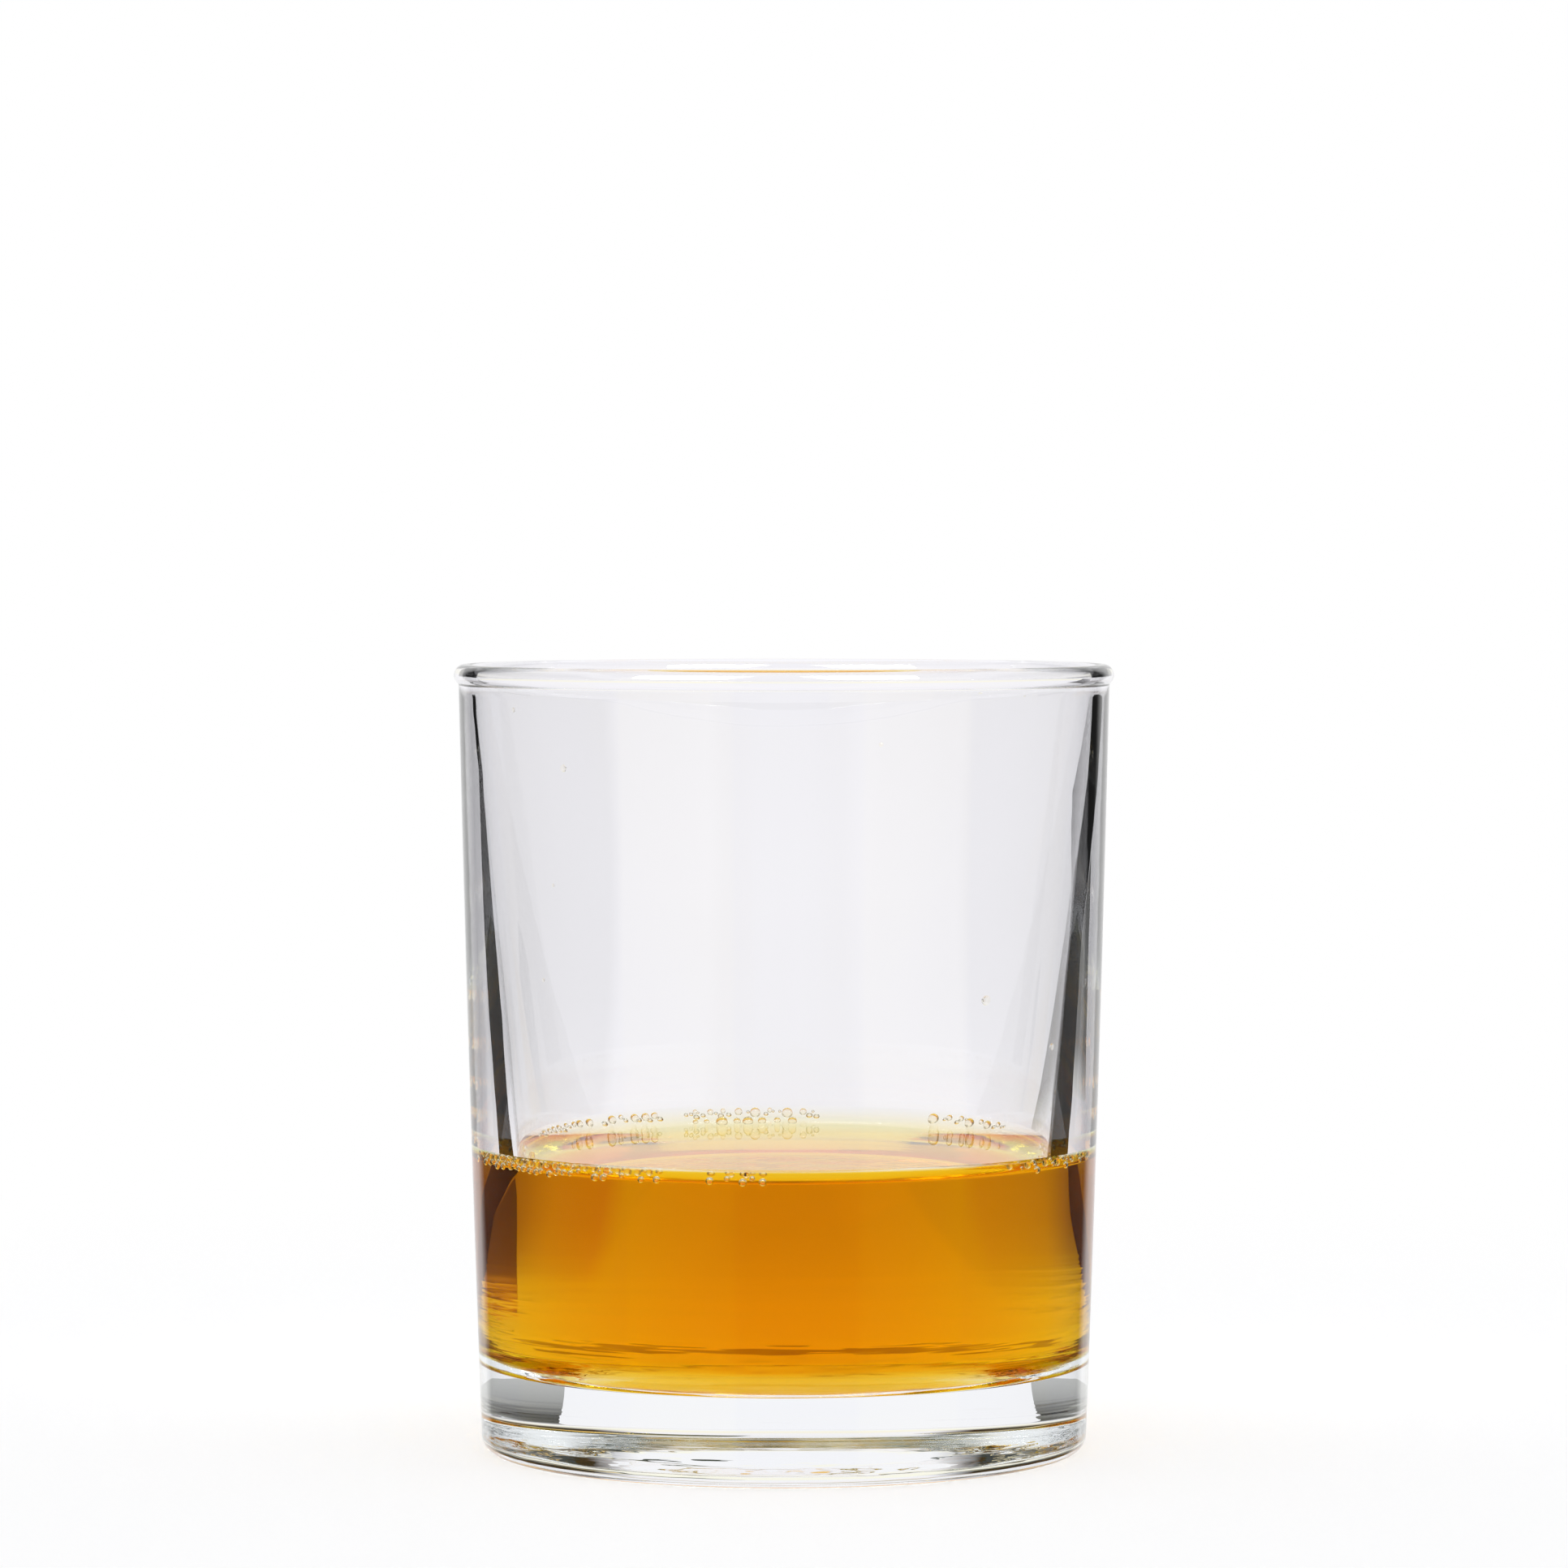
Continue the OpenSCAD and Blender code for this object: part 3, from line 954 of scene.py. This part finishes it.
panelled = add(tree, "ShaderNodeMix", {
    "Factor": 1.0, 6: sloped.outputs[2], 7: strip.outputs[0],
}, data_type="RGBA", blend_type="MULTIPLY")
glow = add(tree, "ShaderNodeValToRGB", {"Fac": turn.outputs[0]},
           stops=[((degrees + 90) / 180, tone) for degrees, tone in GLOW])
grazing = add(tree, "ShaderNodeValToRGB", {"Fac": slope.outputs["Facing"]}, stops=GLOW_LOW)
glow_share = add(tree, "ShaderNodeMath", {0: grazing.outputs[0], 1: slope_share.outputs[0]},
                 operation="MULTIPLY")
warmed = add(tree, "ShaderNodeMix", {
    "Factor": glow_share.outputs[0], 6: panelled.outputs[2], 7: glow.outputs[0],
}, data_type="RGBA", blend_type="MULTIPLY")
cool = add(tree, "ShaderNodeMix", {
    "Factor": flank_share.outputs[0], 6: COOL_WHITE, 7: warmed.outputs[2],
}, data_type="RGBA", blend_type="MULTIPLY")
print(len(FLANKS), "tones round the table,", len(STRIP), "across it and", len(GLOW), "of its glow")

# %% [markdown]
# ## The table to the camera
# The camera sees plain white paper. Near the glass a share of it is real matt paper, which takes the soft
# shadow, and that share fades out with distance, so the table runs into the white background. Mirror rays
# pass the table, or the bright paper would wash out the drink.

# %% The table to the camera
WHITE = linear("#ffffff")
MATT_WHITE = linear("#fafafc")
SHADOW_SHARE = 0.35
SHADOW_NEAR = 120 * MM
SHADOW_FAR = 340 * MM
matt = add(tree, "ShaderNodeBsdfDiffuse", {"Color": MATT_WHITE})
bright = add(tree, "ShaderNodeEmission", {"Color": WHITE, "Strength": 1.0})
bent = add(tree, "ShaderNodeEmission", {"Color": cool.outputs[2], "Strength": 1.0})
absent = add(tree, "ShaderNodeBsdfTransparent")
path = add(tree, "ShaderNodeLightPath")
shadow = add(tree, "ShaderNodeMapRange", {
    "Value": distance.outputs["Value"], "From Min": SHADOW_NEAR, "From Max": SHADOW_FAR,
    "To Min": SHADOW_SHARE, "To Max": 0.0,
}, interpolation_type="SMOOTHSTEP")
plain = add(tree, "ShaderNodeMixShader", {0: shadow.outputs[0], 1: bright.outputs[0], 2: matt.outputs[0]})
by_camera = add(tree, "ShaderNodeMixShader", {
    0: path.outputs["Is Camera Ray"], 1: matt.outputs[0], 2: plain.outputs[0],
})
by_mirror = add(tree, "ShaderNodeMixShader", {
    0: path.outputs["Is Glossy Ray"], 1: by_camera.outputs[0], 2: absent.outputs[0],
})
through = add(tree, "ShaderNodeMixShader", {
    0: path.outputs["Is Transmission Ray"], 1: by_mirror.outputs[0], 2: bent.outputs[0],
})
add(tree, "ShaderNodeOutputMaterial", {"Surface": through.outputs[0]})
floor.data.materials.append(paper)
print(f"shadow fades out {SHADOW_FAR / MM:.0f} mm from the axis of the glass")

# %% [markdown]
# ## The room through the glass
# Light that the glass has bent comes from all over the room. The far wall is white, and faintly warm low
# down, where it shows in the drink's surface. To both sides the walls are dark from a little over the table
# up, which draws the dark streaks along the heel. High up hangs a mottled ceiling of dark and pale patches,
# with amber ones that are a painted reflection of the drink, and the base breaks it into small dark and
# amber marks.

# %% The room through the glass
FAR_WALL = [
    (1, COOL_WHITE), (2.2, linear("#fffcee")), (6.4, linear("#fffcee")), (7.2, COOL_WHITE),
]
SIDE_WALL = linear("#1c2423")
SIDE_WALL_TURN = [
    (-84, 0.0), (-76, 1.0), (-28, 1.0), (-20, 0.0), (20, 0.0), (28, 1.0), (76, 1.0), (84, 0.0),
]
SIDE_WALL_HEIGHT = [(4, 0.0), (9, 1.0), (32, 1.0), (40, 0.0)]
# Dark and pale patches of the ceiling, and amber ones that are a painted reflection of the drink.
CEILING_AND_DRINK_REFLECTION = [
    (0.35, linear("#1d2624")), (0.46, linear("#4a5652")), (0.51, linear("#d0a040")),
    (0.55, linear("#e2d8b4")), (0.63, linear("#5a6661")),
]
CEILING_PATCHES = 2.2
CEILING_FROM = math.radians(42)
CEILING_FULL = math.radians(56)
world = bpy.data.worlds.new("studio")
world.use_nodes = True
bpy.context.scene.world = world
tree = world.node_tree
tree.nodes.clear()
gaze = add(tree, "ShaderNodeTexCoord")
split = add(tree, "ShaderNodeSeparateXYZ", {0: gaze.outputs["Generated"]})
elevation = add(tree, "ShaderNodeMath", {0: split.outputs["Z"]}, operation="ARCSINE")
height = add(tree, "ShaderNodeMath", {0: elevation.outputs[0], 1: math.pi / 2}, operation="DIVIDE")
bearing = add(tree, "ShaderNodeMath", {0: split.outputs["X"], 1: split.outputs["Y"]}, operation="ARCTAN2")
turn = add(tree, "ShaderNodeMapRange", {
    "Value": bearing.outputs[0], "From Min": -math.pi, "From Max": math.pi,
})
far_wall = add(tree, "ShaderNodeValToRGB", {"Fac": height.outputs[0]},
               stops=[(degrees / 90, tone) for degrees, tone in FAR_WALL])
beside = add(tree, "ShaderNodeValToRGB", {"Fac": turn.outputs[0]},
             stops=[((degrees + 180) / 360, share) for degrees, share in SIDE_WALL_TURN])
midway = add(tree, "ShaderNodeValToRGB", {"Fac": height.outputs[0]},
             stops=[(degrees / 90, share) for degrees, share in SIDE_WALL_HEIGHT])
side_share = add(tree, "ShaderNodeMath", {0: beside.outputs[0], 1: midway.outputs[0]}, operation="MULTIPLY")
walls = add(tree, "ShaderNodeMix", {
    "Factor": side_share.outputs[0], 6: far_wall.outputs[0], 7: SIDE_WALL,
}, data_type="RGBA")
patches = add(tree, "ShaderNodeTexNoise", {
    "Vector": gaze.outputs["Generated"], "Scale": CEILING_PATCHES, "Detail": 1.0,
})
ceiling_and_drink_reflection = add(tree, "ShaderNodeValToRGB", {"Fac": patches.outputs[0]}, stops=CEILING_AND_DRINK_REFLECTION)
high_up = add(tree, "ShaderNodeMapRange", {
    "Value": elevation.outputs[0], "From Min": CEILING_FROM, "From Max": CEILING_FULL,
}, interpolation_type="SMOOTHSTEP")
room = add(tree, "ShaderNodeMix", {
    "Factor": high_up.outputs[0], 6: walls.outputs[2], 7: ceiling_and_drink_reflection.outputs[0],
}, data_type="RGBA")
print("room with", len(CEILING_AND_DRINK_REFLECTION), "tones of ceiling")

# %% [markdown]
# ## The room in mirrors, and the background
# What mirrors in the glass and the drink is a dim, warm room with two paler patches in front, so that the
# drink keeps its colour, and a bright far wall between two dark gaps, which edges the rim. The camera sees
# plain white, and the same white lights the table.

# %% The room in mirrors, and the background
PATCH = linear("#aa9c14")
FRONT = linear("#3f3a08")
SIDE = linear("#61581a")
GAP = 0.04
FAR_END = 0.9
MIRRORED = [
    (-180, FRONT), (-163, FRONT), (-161, PATCH), (-121, PATCH), (-119, SIDE), (-66, SIDE),
    (-58, GAP), (-34, GAP), (-26, FAR_END), (26, FAR_END), (34, GAP), (58, GAP),
    (66, SIDE), (110, SIDE), (112, PATCH), (151, PATCH), (153, FRONT), (180, FRONT),
]
mirrored = add(tree, "ShaderNodeValToRGB", {"Fac": turn.outputs[0]},
               stops=[((degrees + 180) / 360, tone) for degrees, tone in MIRRORED])
path = add(tree, "ShaderNodeLightPath")
lit = add(tree, "ShaderNodeMix", {
    "Factor": path.outputs["Is Glossy Ray"], 6: WHITE, 7: mirrored.outputs[0],
}, data_type="RGBA")
bent = add(tree, "ShaderNodeMix", {
    "Factor": path.outputs["Is Transmission Ray"], 6: lit.outputs[2], 7: room.outputs[2],
}, data_type="RGBA")
seen = add(tree, "ShaderNodeMix", {
    "Factor": path.outputs["Is Camera Ray"], 6: bent.outputs[2], 7: WHITE,
}, data_type="RGBA")
sky = add(tree, "ShaderNodeBackground", {"Color": seen.outputs[2], "Strength": 1.0})
add(tree, "ShaderNodeOutputWorld", {"Surface": sky.outputs[0]})
print(len(MIRRORED), "tones round the mirrored room")

# %% [markdown]
# ## Two soft boxes
# Round things need glints: the bead, the bubbles, the droplets and the meniscus each mirror a lamp as a
# small white spot. Two soft boxes hang in front, over the camera, turned to the foot of the glass. They
# light neither the table nor what is seen through the glass.

# %% Soft boxes
BOX_SIZE = 500 * MM
BOX_POWER = 36
BOX_PLACES = {"soft_box_left": (-420, -560, 520), "soft_box_right": (360, -600, 560)}
for lamp_name, place in BOX_PLACES.items():
    lamp_data = bpy.data.lights.new(lamp_name, "AREA")
    lamp_data.shape = "SQUARE"
    lamp_data.size = BOX_SIZE
    lamp_data.energy = BOX_POWER
    lamp = bpy.data.objects.new(lamp_name, lamp_data)
    lamp.location = [v * MM for v in place]
    lamp.rotation_euler = lamp.location.to_track_quat("Z", "Y").to_euler()
    lamp.visible_diffuse = False
    lamp.visible_transmission = False
    bpy.context.scene.collection.objects.link(lamp)
    print(f"{lamp_name}: {lamp.location.length / MM:.0f} mm from the foot of the glass")

# %% [markdown]
# ## View and bounces
# Standard shows a colour as it is written. A ray through wall, drink and wall again crosses many faces and
# is thrown back inside the base several times, so it may bounce more often than the usual twelve times.
# Rays that run out of bounces turn black, and would draw false dark patches in the base.

# %% View and bounces
BOUNCES = 32
scene = bpy.context.scene
scene.view_settings.view_transform = "Standard"
scene.cycles.max_bounces = BOUNCES
scene.cycles.transmission_bounces = BOUNCES
scene.cycles.glossy_bounces = BOUNCES
print(BOUNCES, "bounces at most")

# %% [markdown]
# ## Bounds of what is shown
# The box of everything shown is found, leaving out the studio's pieces.

# %% Bounds of what is shown
low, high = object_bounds()
